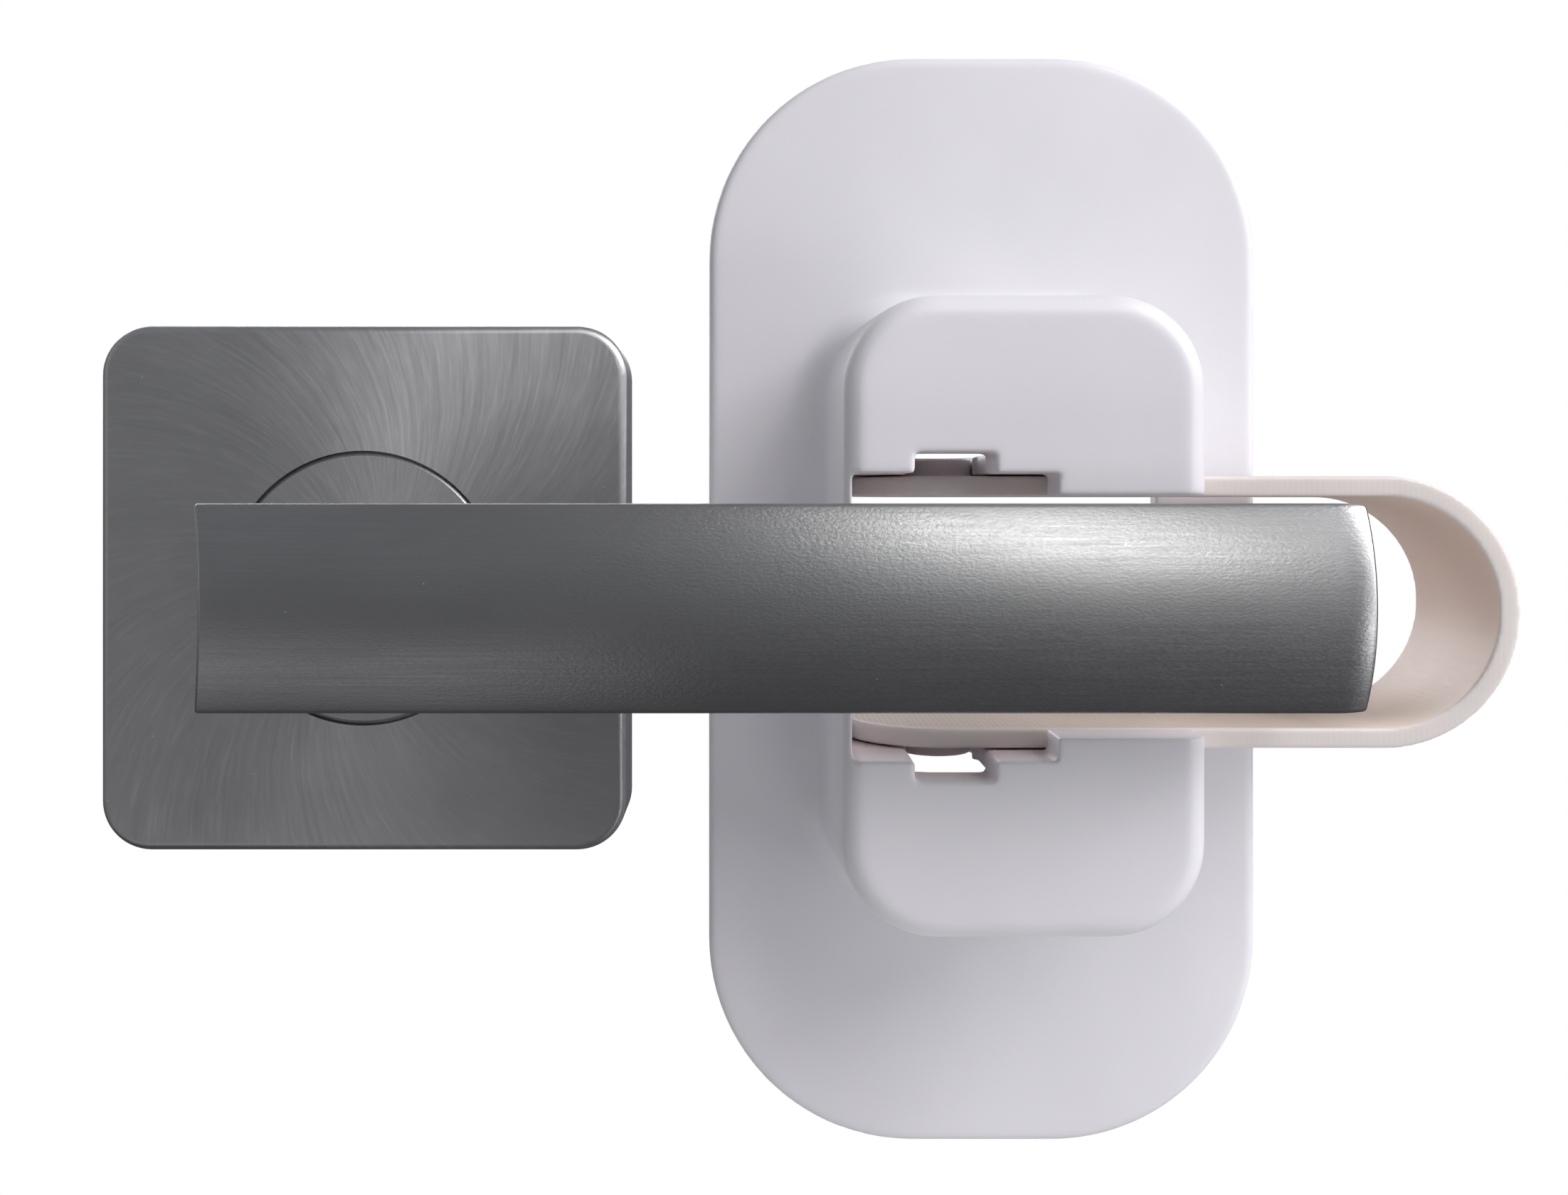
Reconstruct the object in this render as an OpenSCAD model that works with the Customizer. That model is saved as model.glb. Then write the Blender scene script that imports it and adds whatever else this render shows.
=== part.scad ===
// Door lever on a square rosette, with a child-safety lever lock stuck to the door beside it.
//
// Frame: +X runs along the lever towards its tip, +Z is up, the door face is the plane Y = 0,
// the room is on the -Y side and the door's inside on the +Y side.
// The origin is where the spindle's axis crosses the door face.
// Each module is drawn lying down: x along the lever, y up, z the height off the door face.
// off_door() then stands it up in the frame above.

/* [Rosette] */
// Width and height of the square rosette cover
rosette_w = 63.5; // [56:0.5:80]
// Height of the rosette cover off the door
rosette_t = 9.5; // [9:0.5:14]
// Corner radius of the rosette cover
rosette_corner = 6; // [3:0.5:12]
// Radius rolled along the rosette cover's front edge
rosette_edge = 1; // [0.5:0.1:2]
// Wall of the pressed rosette cover
cover_wall = 1.2; // [0.8:0.1:1.5]
// Diameter of the collar that turns with the lever
collar_d = 32.6; // [28:0.2:38]

/* [Lever] */
// Reach of the lever from the spindle's axis to its tip
lever_reach = 106.5; // [96:0.5:140]
// How far the bar's tail reaches past the neck
tail_over = 0; // [0:0.5:10]
// Height of the lever bar
lever_h = 20.4; // [16:0.2:26]
// Thickness of the lever bar at its crown
lever_t = 10; // [7:0.5:14]
// Rise of the crown over the bar's long edges
lever_crown = 2.8; // [1:0.1:4]
// Depth of the shallow dish ground into the tail end
tail_dish = 1.35; // [0.5:0.05:2]
// Gap between the back of the bar and the front of the lock's block
lever_clear = 4.3; // [3:0.1:15]
// Wall left in the neck at the corners of the spindle's socket
neck_wall = 1.65; // [1.2:0.05:4]
// How far the neck steps down to the journal
journal_step = 0.3; // [0.2:0.05:0.6]
// How far the lever turns down
lever_travel = 45; // [30:1:50]

/* [Spindle and fixings] */
// Side of the square spindle
spindle_w = 8; // [7:0.1:8.5]
// Length of spindle that stands out behind the door face
spindle_out = 45; // [30:1:70]
// Depth of the spindle's socket in the lever
socket_depth = 33; // [24:1:36]
// Diameter of the two through bolts
bolt_d = 4; // [3:0.5:5]
// Distance between the two through bolts
bolt_spacing = 38; // [37:0.5:42]
// Length of bolt that stands out behind the door face
bolt_out = 40; // [20:1:60]
// Diameter of the grub screw that grips the spindle
grub_d = 5; // [4:0.5:6]

/* [Spring cassette] */
// Width and height of the mounting plate under the cover
plate_w = 58; // [52:0.5:60]
// Depth of the spring housing behind the door face
housing_depth = 9; // [8:0.5:16]
// Wall of the spring housing
housing_wall = 2; // [1.5:0.1:2.5]
// Thickness of plate in front of the spring
cavity_roof = 3.8; // [2.5:0.1:4.5]
// Wire of the return spring
spring_wire = 1.6; // [1:0.1:2]
// Turns of the return spring
spring_turns = 2.25; // [1.25:1:2.25]
// Wall of the bearing bush
bush_wall = 2.1; // [1.5:0.1:2.6]

/* [Lock base] */
// Gap between the rosette and the lock's base plate
lock_gap = 9.85; // [2:0.05:20]
// Height of the lock's centre over the spindle's axis
lock_up = -1.7; // [-3:0.1:0]
// Width of the lock's base plate
base_w = 68; // [56:0.5:84]
// Height of the lock's base plate
base_h = 135; // [105:1:170]
// Corner radius of the lock's base plate
base_corner = 25.2; // [12:0.2:27.8]
// Thickness of the lock's base plate
base_t = 3; // [2.5:0.1:4]
// Radius rolled along the base plate's front edge
base_edge = 1; // [0.5:0.1:1.5]
// Thickness of the adhesive tape
tape_t = 1; // [0.6:0.1:2]
// Width of the raised block at its front
block_w = 38.4; // [34:0.2:48]
// Height of the raised block at its front
block_h = 68; // [60:0.5:90]
// Corner radius of the block at its front
block_corner = 10; // [6:0.5:14]
// Radius rolled along the block's front edge
block_edge = 2.4; // [1:0.1:3.5]
// How far each side of the block leans out on its way to the plate
block_draft = 1.6; // [0.5:0.1:2.5]
// Radius of the fillet between the block and the plate
block_fillet = 3; // [1:0.2:4]
// Wall of the block
block_wall = 2.4; // [1.8:0.1:3]
// Thickness of the rails that carry the pins
rail_t = 2.2; // [1.6:0.1:3]

/* [Squeeze loop] */
// Thickness of the loop's strap
strap_t = 2.2; // [1.6:0.1:3]
// Width of the loop's strap
strap_w = 21; // [16:0.5:26]
// Gap between the strap and the base plate behind it
strap_lift = 1.5; // [0.5:0.1:3]
// Gap between the lever's top edge and the upper arm when the loop stands up
arm_room = 0.8; // [0.5:0.1:4]
// Gap between the lever's tip and the bend as the loop swings past it
tip_room = 2.4; // [1:0.1:12]
// Position of the loop's pins to the left of the lock's centre line
pin_back = 7.4; // [5:0.1:7.6]
// Diameter of the loop's moulded pins
pin_d = 8.3; // [6:0.1:10]
// Length of each pin beyond its arm
pin_len = 2; // [1.5:0.1:2.3]
// How far each lip overhangs the arm behind it
lip_catch = 2.2; // [1:0.1:2.6]
// Depth of each lip
lip_t = 6.7; // [4:0.1:8.2]

/* [Clearances] */
// Radial clearance of a pin or journal in its bearing
run_gap = 0.08; // [0.05:0.01:0.1]
// Gap between parts that pass each other
pass_gap = 0.3; // [0.2:0.05:0.5]
// Gap of a shaft keyed into its socket
key_gap = 0.05; // [0.02:0.01:0.1]

/* [Hidden] */
$fn = 96;
// A small overlap that joins solids of one piece, or carries a cut past a face
eps = 0.05;

// Heights off the door face in the rosette, from the room inwards
washer_t = 0.4;
collar_lip_t = 0.75;
cover_inner = rosette_t - cover_wall;
collar_lip_top = cover_inner - pass_gap;
collar_lip_bottom = collar_lip_top - collar_lip_t;
washer_top = collar_lip_bottom - key_gap;
plate_t = washer_top - washer_t;
cavity_top = plate_t - cavity_roof;
cap_t = 0.8;
wave_t = 0.6;
ring_t = 0.9;
cap_bottom = -housing_depth + wave_t + ring_t + key_gap;
cap_seat = cap_bottom + cap_t;
ring_top = cap_bottom - wave_t - key_gap;
journal_end = ring_top - ring_t - 1;

// Radii round the spindle's axis, from the inside out
neck_r = spindle_w * sqrt(2) / 2 + neck_wall;
journal_r = neck_r - journal_step;
flat_w = journal_r * 1.8;
groove_r = journal_r - 0.7;
bush_r = journal_r + run_gap + bush_wall;
hub_r = journal_r + 2.6;
coil_r = hub_r + 2 * pass_gap + spring_wire / 2;
cavity_r = coil_r + spring_wire / 2 + 2.2;
lug_r = cavity_r - 2 * pass_gap;
housing_r = cavity_r + housing_wall;
cap_r = cavity_r + 0.8;
collar_r = collar_d / 2;
lever_tail = neck_r + tail_over;

// Fixings
bolt_head_r = bolt_d;
bolt_head_h = bolt_d * 0.55;
shank_r = bolt_d / 2 + 0.15;
thread_top = -housing_depth - 1;
grub_h = 26;
clip_w = 9;
clip_t = 0.5;
clip_pocket = 1;

// The driver's lug and the spring's coil
lug_half = 9;
lug_top = cavity_top - pass_gap;
stop_gap = 2;
coil_pitch = spring_wire + 0.2;
coil_bottom = cap_seat + pass_gap + spring_wire / 2;
coil_top = coil_bottom + spring_turns * coil_pitch;
lug_bottom = coil_top + spring_wire / 2 + pass_gap;
leg_angle = 90 - lug_half - asin((spring_wire / 2 + key_gap) / coil_r);
leg_bend = 1.2;

// The lock in depth, from the door outwards
plate_front = tape_t + base_t;
strap_back = plate_front + strap_lift;
pin_h = strap_back + strap_w / 2;
lip_under = strap_back + strap_w + 0.5;
block_front = lip_under + lip_t;

// The lever bar
lever_back = block_front + lever_clear;
lever_front = lever_back + lever_t;
crown_r = (pow(lever_h / 2, 2) + pow(lever_crown, 2)) / (2 * lever_crown);
dish_r = (pow(lever_h / 2, 2) + pow(tail_dish, 2)) / (2 * tail_dish);
bar_edge = 1.5;

// The lock across the door, measured from its own centre line
lock_x = rosette_w / 2 + lock_gap + base_w / 2;
root_w = block_w + 2 * block_draft;
root_h = block_h + 2 * block_draft;
root_corner = block_corner + block_draft;
arm_inner = lever_h / 2 - lock_up + arm_room;
loop_r = arm_inner + strap_t;
room = loop_r + 0.2;
lip_y = loop_r - lip_catch;
notch_half = strap_w / 2 + pass_gap;
channel_left = -pin_back - notch_half;
seat_r = pin_d / 2 + run_gap;
pocket_y = room + rail_t;
window_right = root_w / 2 + 0.8;
snap = 0.5;

// The bend clears the corner of the lever's tip as the loop swings past it
tip_swing = norm([lever_reach - lock_x + pin_back, lever_front - pin_h]);
bend_out = tip_swing + tip_room - sqrt(pow(arm_inner, 2) - pow(arm_inner - arm_room, 2));

// ---------- shared shapes ----------

module off_door() {
    rotate([90, 0, 0]) children();
}

module at_lock() {
    off_door() translate([lock_x, lock_up, 0]) children();
}

// A rectangle with round corners, centred
module soft_rect(w, h, r) {
    square([w - 2 * r, h], center = true);
    square([w, h - 2 * r], center = true);
    for (x = [-1, 1], y = [-1, 1])
        translate([x * (w / 2 - r), y * (h / 2 - r)]) circle(r);
}

// Half the outline of a slab that lies from height z0 to z1, with its front edge rolled
module rolled_half(half, z0, z1, edge) {
    translate([0, z0]) square([half, z1 - z0 - edge]);
    translate([0, z0]) square([half - edge, z1 - z0]);
    translate([half - edge, z1 - edge]) circle(edge);
}

// A slab with round corners and a rolled front edge
module soft_slab(w, h, r, z0, z1, edge) {
    for (run = [[90, w, h], [0, h, w]]) rotate(run[0] - 90) rotate([90, 0, 0])
        linear_extrude(run[2] - 2 * r, center = true) {
            rolled_half(run[1] / 2, z0, z1, edge);
            mirror([1, 0]) rolled_half(run[1] / 2, z0, z1, edge);
        }
    for (x = [-1, 1], y = [-1, 1]) translate([x * (w / 2 - r), y * (h / 2 - r), 0])
        rotate_extrude() rolled_half(r, z0, z1, edge);
}

// A round tube between two heights
module tube(r_out, r_in, z0, z1) {
    translate([0, 0, z0]) linear_extrude(z1 - z0) difference() {
        circle(r_out);
        circle(r_in);
    }
}

module shaft(r, z0, z1) {
    translate([0, 0, z0]) cylinder(r = r, h = z1 - z0);
}

// A wedge of the plane between two angles, out to a radius
module wedge(r, a0, a1) {
    rim = [for (k = [0:4]) a0 + (a1 - a0) * k / 4];
    polygon(concat([[0, 0]], [for (a = rim) 1.2 * r * [cos(a), sin(a)]]));
}

// The journal's section: round with two flats
module keyed_section(r, w) {
    intersection() {
        circle(r);
        square([w, 3 * r], center = true);
    }
}

// ---------- rosette ----------

module rosette_cover() {
    inner = rosette_w - 2 * cover_wall;
    color("#77787a") off_door() difference() {
        soft_slab(rosette_w, rosette_w, rosette_corner, 0, rosette_t, rosette_edge);
        translate([0, 0, -eps]) linear_extrude(cover_inner + eps)
            soft_rect(inner, inner, rosette_corner - cover_wall);
        shaft(collar_r + pass_gap, 0, rosette_t + 1);
    }
}

module mounting_plate() {
    color("#9a9c9e") off_door() difference() {
        union() {
            linear_extrude(plate_t) soft_rect(plate_w, plate_w, rosette_corner - cover_wall);
            shaft(housing_r, -housing_depth, eps);
        }
        difference() {
            shaft(cavity_r, -housing_depth - 1, cavity_top);
            // stops for the driver's lug at the level and the pressed ends of the travel
            for (stop = [[90 + lug_half + stop_gap, 125], [15, 90 - lever_travel - lug_half - stop_gap]])
                translate([0, 0, lug_bottom]) linear_extrude(cavity_top - lug_bottom) difference() {
                    intersection() {
                        circle(cavity_r + eps);
                        wedge(cavity_r, stop[0], stop[1]);
                    }
                    circle(hub_r + pass_gap);
                }
        }
        shaft(cap_r, -housing_depth - 1, cap_seat);
        shaft(bush_r, 0, plate_t + 1);
        for (s = [-1, 1]) translate([0, s * bolt_spacing / 2, 0]) {
            shaft(bolt_d / 2 + pass_gap, -1, plate_t + 1);
            translate([0, 0, plate_t - bolt_head_h - 0.2])
                cylinder(r1 = bolt_d / 2 + pass_gap, r2 = bolt_head_r + pass_gap,
                         h = bolt_head_h + 0.2 + eps);
        }
        // pockets that hold the cover clips
        for (s = [-1, 1]) translate([s * plate_w / 2, 0, plate_t / 2])
            cube([2 * clip_pocket, clip_w + 0.4, plate_t + 1], center = true);
    }
}

// Bowed spring-steel strips that grip the cover's side walls
module cover_clips() {
    reach = rosette_w / 2 - cover_wall - key_gap;
    seat = plate_w / 2 - clip_pocket + key_gap;
    bow = [
        [seat, 0.4], [seat + clip_t, 0.4], [reach, plate_t * 0.45], [reach, plate_t * 0.6],
        [seat + clip_t, plate_t - 0.4], [seat, plate_t - 0.4],
        [seat, plate_t - 0.4 - clip_t], [reach - clip_t, plate_t * 0.55],
        [reach - clip_t, plate_t * 0.5], [seat, 0.4 + clip_t]];
    color("#b9babc") off_door() for (s = [-1, 1])
        rotate([90, 0, 0]) linear_extrude(clip_w, center = true) polygon([for (p = bow) [s * p[0], p[1]]]);
}

module neck_bush() {
    color("#e9e6dc") off_door() tube(bush_r, journal_r + run_gap, cavity_top, plate_t);
}

module thrust_washer() {
    color("#f0eee6") off_door() tube(bush_r + 5, neck_r + run_gap, plate_t, washer_top);
}

module collar_ring() {
    color("#7d7e80") off_door() difference() {
        union() {
            shaft(collar_r, collar_lip_bottom, rosette_t - 0.3);
            translate([0, 0, rosette_t - 0.3]) cylinder(r1 = collar_r, r2 = collar_r - 0.3, h = 0.3);
            shaft(collar_r + 1, collar_lip_bottom, collar_lip_top);
        }
        shaft(neck_r, 0, rosette_t + 1);
    }
}

// ---------- lever ----------

module bar_section() {
    intersection() {
        translate([0, lever_back + lever_t / 2]) soft_rect(lever_h, lever_t, bar_edge);
        translate([0, lever_front - crown_r]) circle(crown_r);
    }
}

module lever_handle() {
    color("#6f7072") off_door() difference() {
        union() {
            difference() {
                translate([-lever_tail, 0, 0]) rotate([90, 0, 90])
                    linear_extrude(lever_tail + lever_reach) bar_section();
                translate([-lever_tail + tail_dish - dish_r, 0, lever_back - 1])
                    cylinder(r = dish_r, h = lever_t + 2, $fn = 180);
            }
            shaft(neck_r, collar_lip_bottom, lever_back + 1);
            shaft(journal_r, cavity_top - eps, collar_lip_bottom + eps);
            translate([0, 0, journal_end]) linear_extrude(cavity_top - journal_end)
                keyed_section(journal_r, flat_w);
        }
        translate([0, 0, journal_end - 1]) linear_extrude(socket_depth + 1 - journal_end)
            square(spindle_w + 2 * key_gap, center = true);
        tube(journal_r + 1, groove_r, ring_top - ring_t - key_gap, ring_top + key_gap);
        translate([0, 0, grub_h]) rotate([90, 0, 0]) cylinder(r = grub_d / 2 + key_gap, h = 2 * neck_r);
    }
}

module spindle() {
    color("#a8a9ab") off_door() translate([0, 0, -spindle_out])
        linear_extrude(spindle_out + socket_depth - 0.5) square(spindle_w, center = true);
}

// A socket set screw that enters the neck from below
module grub_screw() {
    tip = spindle_w / 2 + key_gap;
    length = neck_r - tip - 0.4;
    color("#4c4d4f") off_door() translate([0, -tip, grub_h]) rotate([90, 0, 0]) difference() {
        cylinder(r = grub_d / 2, h = length);
        translate([0, 0, length - 1.6]) cylinder(d = grub_d / 2, h = 2, $fn = 6);
    }
}

// ---------- spring cassette ----------

module spring_driver() {
    color("#c2a24c") off_door() difference() {
        union() {
            shaft(hub_r, cap_seat + pass_gap, lug_top);
            translate([0, 0, lug_bottom]) linear_extrude(lug_top - lug_bottom)
                intersection() {
                    circle(lug_r);
                    wedge(lug_r, 90 - lug_half, 90 + lug_half);
                }
        }
        translate([0, 0, cap_seat - 1]) linear_extrude(cavity_top - cap_seat + 2)
            keyed_section(journal_r + key_gap, flat_w + 2 * key_gap);
    }
}

// The spring's centre line: a leg beside the lug, the coil, and a leg through the cap
coil_steps = 20;
function on_coil(a, z) = [coil_r * cos(a), coil_r * sin(a), z];
bend_a = leg_bend / coil_r * 180 / PI;
coil_sweep = spring_turns * 360;
spring_path = concat(
    [on_coil(leg_angle, lug_top - 0.4), on_coil(leg_angle, (lug_top + coil_top) / 2)],
    [for (k = [0:3]) on_coil(leg_angle - bend_a * (1 - cos(k * 30)),
                             coil_top + leg_bend * (1 - sin(k * 30)))],
    [for (k = [1:coil_steps * spring_turns])
        on_coil(leg_angle - bend_a - k / (coil_steps * spring_turns) * coil_sweep,
                coil_top - k / (coil_steps * spring_turns) * (coil_top - coil_bottom))],
    [for (k = [1:3]) on_coil(leg_angle - bend_a - coil_sweep - bend_a * sin(k * 30),
                             coil_bottom - leg_bend * (1 - cos(k * 30)))],
    [on_coil(leg_angle - 2 * bend_a - coil_sweep, cap_bottom + 0.1)]);

function unit(v) = v / norm(v);
function along(path, i) = unit(path[min(i + 1, len(path) - 1)] - path[max(i - 1, 0)]);

// Sweeps a round wire along a path that keeps clear of the z axis
module wire(path, d, sides = 8) {
    n = len(path);
    points = [for (i = [0:n - 1])
        let (t = along(path, i), out = unit([path[i][0], path[i][1], 0]),
             u = unit(out - (out * t) * t), v = cross(t, u))
        for (k = [0:sides - 1]) path[i] + d / 2 * (u * cos(360 * k / sides) + v * sin(360 * k / sides))];
    faces = concat(
        [[for (k = [0:sides - 1]) k]],
        [for (i = [0:n - 2]) for (k = [0:sides - 1])
            [i * sides + k, (i + 1) * sides + k,
             (i + 1) * sides + (k + 1) % sides, i * sides + (k + 1) % sides]],
        [[for (k = [sides - 1:-1:0]) (n - 1) * sides + k]]);
    polyhedron(points, faces, convexity = 6);
}

module return_spring() {
    color("#8e9092") off_door() wire(spring_path, spring_wire);
}

module spring_cap() {
    leg_end = spring_path[len(spring_path) - 1];
    color("#b4b5b7") off_door() difference() {
        tube(cap_r, journal_r + pass_gap, cap_bottom, cap_seat);
        translate([leg_end[0], leg_end[1], cap_bottom - 1])
            cylinder(r = spring_wire / 2 + pass_gap, h = cap_t + 2);
    }
}

module wave_washer() {
    color("#9fa0a2") off_door() tube(journal_r + 2.6, journal_r + pass_gap, cap_bottom - wave_t, cap_bottom);
}

// An open snap ring in the journal's groove
module retaining_ring() {
    color("#5b5c5e") off_door() translate([0, 0, ring_top - ring_t]) linear_extrude(ring_t) difference() {
        circle(journal_r + 1.8);
        circle(groove_r + key_gap);
        translate([-1.5, -journal_r - 3]) square([3, journal_r]);
    }
}

module through_bolts() {
    color("#c9cacc") off_door() for (s = [-1, 1]) translate([0, s * bolt_spacing / 2, 0]) difference() {
        union() {
            // the threaded length, the plain shank and the countersunk head
            shaft(bolt_d / 2, -bolt_out, thread_top + eps);
            shaft(shank_r, thread_top, plate_t - 0.5);
            translate([0, 0, plate_t - bolt_head_h - 0.2])
                cylinder(r1 = shank_r, r2 = bolt_head_r, h = bolt_head_h);
        }
        for (turn = [0, 90]) rotate(turn) translate([-bolt_head_r / 2, -0.4, plate_t - 1.4])
            cube([bolt_head_r, 0.8, 2]);
    }
}

// ---------- lock ----------

// A square-cornered piece with its inner corner hollowed to a radius
module fillet_section(r, sink) {
    difference() {
        translate([-sink, -sink]) square(r + sink);
        translate([r, r]) circle(r);
    }
}

// A hollow fillet all round a soft rectangle, standing on height z0
module fillet_ring(w, h, corner, r, z0, sink) {
    translate([0, 0, z0]) {
        for (q = [0:3]) {
            along_x = q % 2 == 0;
            run = along_x ? w : h;
            side = along_x ? h : w;
            rotate(q * 90) translate([0, side / 2, 0]) rotate([90, 0, 90])
                linear_extrude(run - 2 * corner, center = true) fillet_section(r, sink);
            rotate(q * 90) translate([run / 2 - corner, side / 2 - corner, 0])
                rotate_extrude(angle = 90) translate([corner, 0]) fillet_section(r, sink);
        }
    }
}

module block_outside() {
    hull() for (x = [-1, 1], y = [-1, 1]) {
        across = x * (block_w / 2 - block_corner);
        up = y * (block_h / 2 - block_corner);
        translate([across, up, block_front - block_edge])
            rotate_extrude($fn = 48) translate([block_corner - block_edge, 0]) intersection() {
                circle(block_edge, $fn = 32);
                square(block_edge);
            }
        translate([across, up, plate_front - eps]) cylinder(r = root_corner, h = eps, $fn = 48);
    }
}

// The two blind pockets that core the block out from behind
module block_pockets() {
    inner_w = block_w - 2 * block_wall;
    far = block_h / 2 - block_wall;
    pocket_r = block_corner - block_wall;
    for (s = [-1, 1]) difference() {
        translate([0, s * (pocket_y + far) / 2, 0]) linear_extrude(block_front - block_wall)
            soft_rect(inner_w, far - pocket_y, min(pocket_r, (far - pocket_y) / 2 - eps));
        // the beam that backs the lip
        translate([-block_w, -pocket_y - rail_t, lip_under])
            cube([2 * block_w, 2 * (pocket_y + rail_t), lip_t]);
    }
}

// Everything cut away along the middle for the loop, its pins and the moulding core
module loop_room() {
    right = base_w;
    // between the lips, open to the front
    translate([channel_left, -lip_y, plate_front]) cube([right, 2 * lip_y, block_front]);
    // behind the lips
    translate([channel_left, -room, plate_front]) cube([right, 2 * room, lip_under - plate_front]);
    // the window through the base plate
    translate([channel_left, -room, -1]) cube([window_right - channel_left, 2 * room, plate_front + 2]);
    // the shallow notches that let the arms stand up
    translate([channel_left, -room, lip_under - eps]) cube([2 * notch_half, 2 * room, lip_t + 1]);
    // the deep notches that let the pins in, and their round seats
    intersection() {
        translate([-pin_back, 0, 0]) {
            translate([-seat_r, -pocket_y, pin_h]) difference() {
                cube([2 * seat_r, 2 * pocket_y, block_front]);
                for (x = [0, 2 * seat_r]) translate([x, -1, seat_r * 0.85])
                    rotate([-90, 0, 0]) cylinder(r = snap, h = 2 * pocket_y + 2, $fn = 24);
            }
            translate([0, 0, pin_h]) rotate([90, 0, 0])
                cylinder(r = seat_r, h = 2 * pocket_y + 2, center = true);
        }
        translate([-base_w, -pocket_y, 0]) cube([2 * base_w, 2 * pocket_y, block_front + 1]);
    }
}

module lock_base() {
    color("#e4e4ea") at_lock() difference() {
        union() {
            soft_slab(base_w, base_h, base_corner, tape_t, plate_front, base_edge);
            block_outside();
            fillet_ring(root_w, root_h, root_corner, block_fillet, plate_front, 0.6);
        }
        block_pockets();
        loop_room();
    }
}

module adhesive_tape() {
    inset = 0.8;
    color("#a9a4a0") at_lock() linear_extrude(tape_t) difference() {
        soft_rect(base_w - 2 * inset, base_h - 2 * inset, base_corner - inset);
        soft_rect(root_w + 3, root_h + 3, root_corner);
    }
}

module squeeze_loop() {
    color("#ded9da") at_lock() translate([-pin_back, 0, 0]) {
        for (s = [-1, 1]) {
            translate([0, s * (loop_r - strap_t / 2), 0]) rotate([90, 0, 0])
                linear_extrude(strap_t, center = true) {
                    translate([0, pin_h]) circle(strap_w / 2);
                    translate([0, strap_back]) square([bend_out, strap_w]);
                }
            translate([0, s * (loop_r - eps), pin_h]) rotate([-90 * s, 0, 0])
                cylinder(r = pin_d / 2, h = pin_len + eps);
        }
        translate([bend_out, 0, strap_back]) rotate([0, 0, -90])
            rotate_extrude(angle = 180) translate([loop_r - strap_t, 0]) square([strap_t, strap_w]);
    }
}

rosette_cover();
mounting_plate();
cover_clips();
neck_bush();
thrust_washer();
collar_ring();
lever_handle();
spindle();
grub_screw();
spring_driver();
return_spring();
spring_cap();
wave_washer();
retaining_ring();
through_bolts();
lock_base();
adhesive_tape();
squeeze_loop();
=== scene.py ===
# %% [markdown]
# # A door lever with a child-safety lever lock
# A brushed nickel lever sits on a square rosette, and a white plastic lock is stuck to the door beside
# it. The lock's loop lies flat to let the lever turn. Swung out through a right angle it stands round
# the bar, and the bar can't be pressed down.
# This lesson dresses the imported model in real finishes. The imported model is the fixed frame: its pieces
# keep their places, and where a piece needs finer detail than the frame holds, a new one stands in.

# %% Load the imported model
import math

import bmesh
import bpy
from mathutils import Matrix, Vector


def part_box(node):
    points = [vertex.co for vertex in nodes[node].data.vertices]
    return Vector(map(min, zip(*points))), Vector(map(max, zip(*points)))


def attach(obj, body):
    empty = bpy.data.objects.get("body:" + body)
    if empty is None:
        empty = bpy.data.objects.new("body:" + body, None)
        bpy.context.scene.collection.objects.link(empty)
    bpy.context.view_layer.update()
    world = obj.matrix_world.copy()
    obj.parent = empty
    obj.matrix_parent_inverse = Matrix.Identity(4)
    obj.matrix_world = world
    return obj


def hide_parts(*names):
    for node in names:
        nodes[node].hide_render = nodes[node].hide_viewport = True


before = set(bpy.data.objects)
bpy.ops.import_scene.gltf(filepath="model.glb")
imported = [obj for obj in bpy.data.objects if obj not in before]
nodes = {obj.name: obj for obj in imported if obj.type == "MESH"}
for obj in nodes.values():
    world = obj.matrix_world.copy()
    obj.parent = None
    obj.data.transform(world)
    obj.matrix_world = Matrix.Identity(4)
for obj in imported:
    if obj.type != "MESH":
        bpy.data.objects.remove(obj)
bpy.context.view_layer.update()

MM = 0.001
print("pieces in the frame:", len(nodes))

# %% [markdown]
# ## The view
# The door face is the plane Y = 0 and the room is on the -Y side, so the camera looks along +Y.
# It stands close, less than two hand widths away, so the bar looks large next to the rosette.
# Its axis stays square to the door, so upright edges stay upright. A small lens shift frames the pieces
# instead of a turn of the camera, because a turn would make the door lean.

# %% Camera
scene = bpy.context.scene
lens = bpy.data.cameras.new("view")
lens.sensor_width = 36
lens.lens = 34.33
lens.shift_x = 0.0236
lens.shift_y = -0.059
camera = bpy.data.objects.new("view", lens)
camera.location = (46.35 * MM, -190 * MM, 10.04 * MM)
camera.rotation_euler = (math.radians(90), 0, 0)
scene.collection.objects.link(camera)
scene.camera = camera
bar_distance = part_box("lever_handle")[0].y - camera.location.y
print("camera to the lever bar, mm:", round(bar_distance / MM, 1))

# %% [markdown]
# ## One function for colour
# Paint charts and screens give colours as sRGB hex values. Blender's shaders add and multiply light, so
# they need linear values. One function turns the first into the second, and every colour goes through
# it.


# %% Colour from hex
def colour(hex_value):
    """An sRGB hex value as the linear colour that a shader socket takes."""
    parts = [int(hex_value[i:i + 2], 16) / 255 for i in (1, 3, 5)]
    return tuple(p / 12.92 if p <= 0.04045 else ((p + 0.055) / 1.055) ** 2.4 for p in parts) + (1.0,)


print("mid grey #808080 is", round(colour("#808080")[0], 3), "in linear light")

# %% [markdown]
# ## Studio
# White plastic needs broad soft light, and brushed metal shows the shape of its lamp. One long soft lamp
# hangs up and to the right: its upper end is further left, so that its reflection runs slantwise over
# the crowned bar. A broad lamp at the upper right lights the plastic from above and brings out the fans
# on the square cover. One at the right lights the side of the tip, and a small lamp low on that side
# lifts the end of the bar's highlight. Two faint ones at the left keep the shadows there from going
# black, and one behind the door lights the back for when it is looked at.


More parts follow.
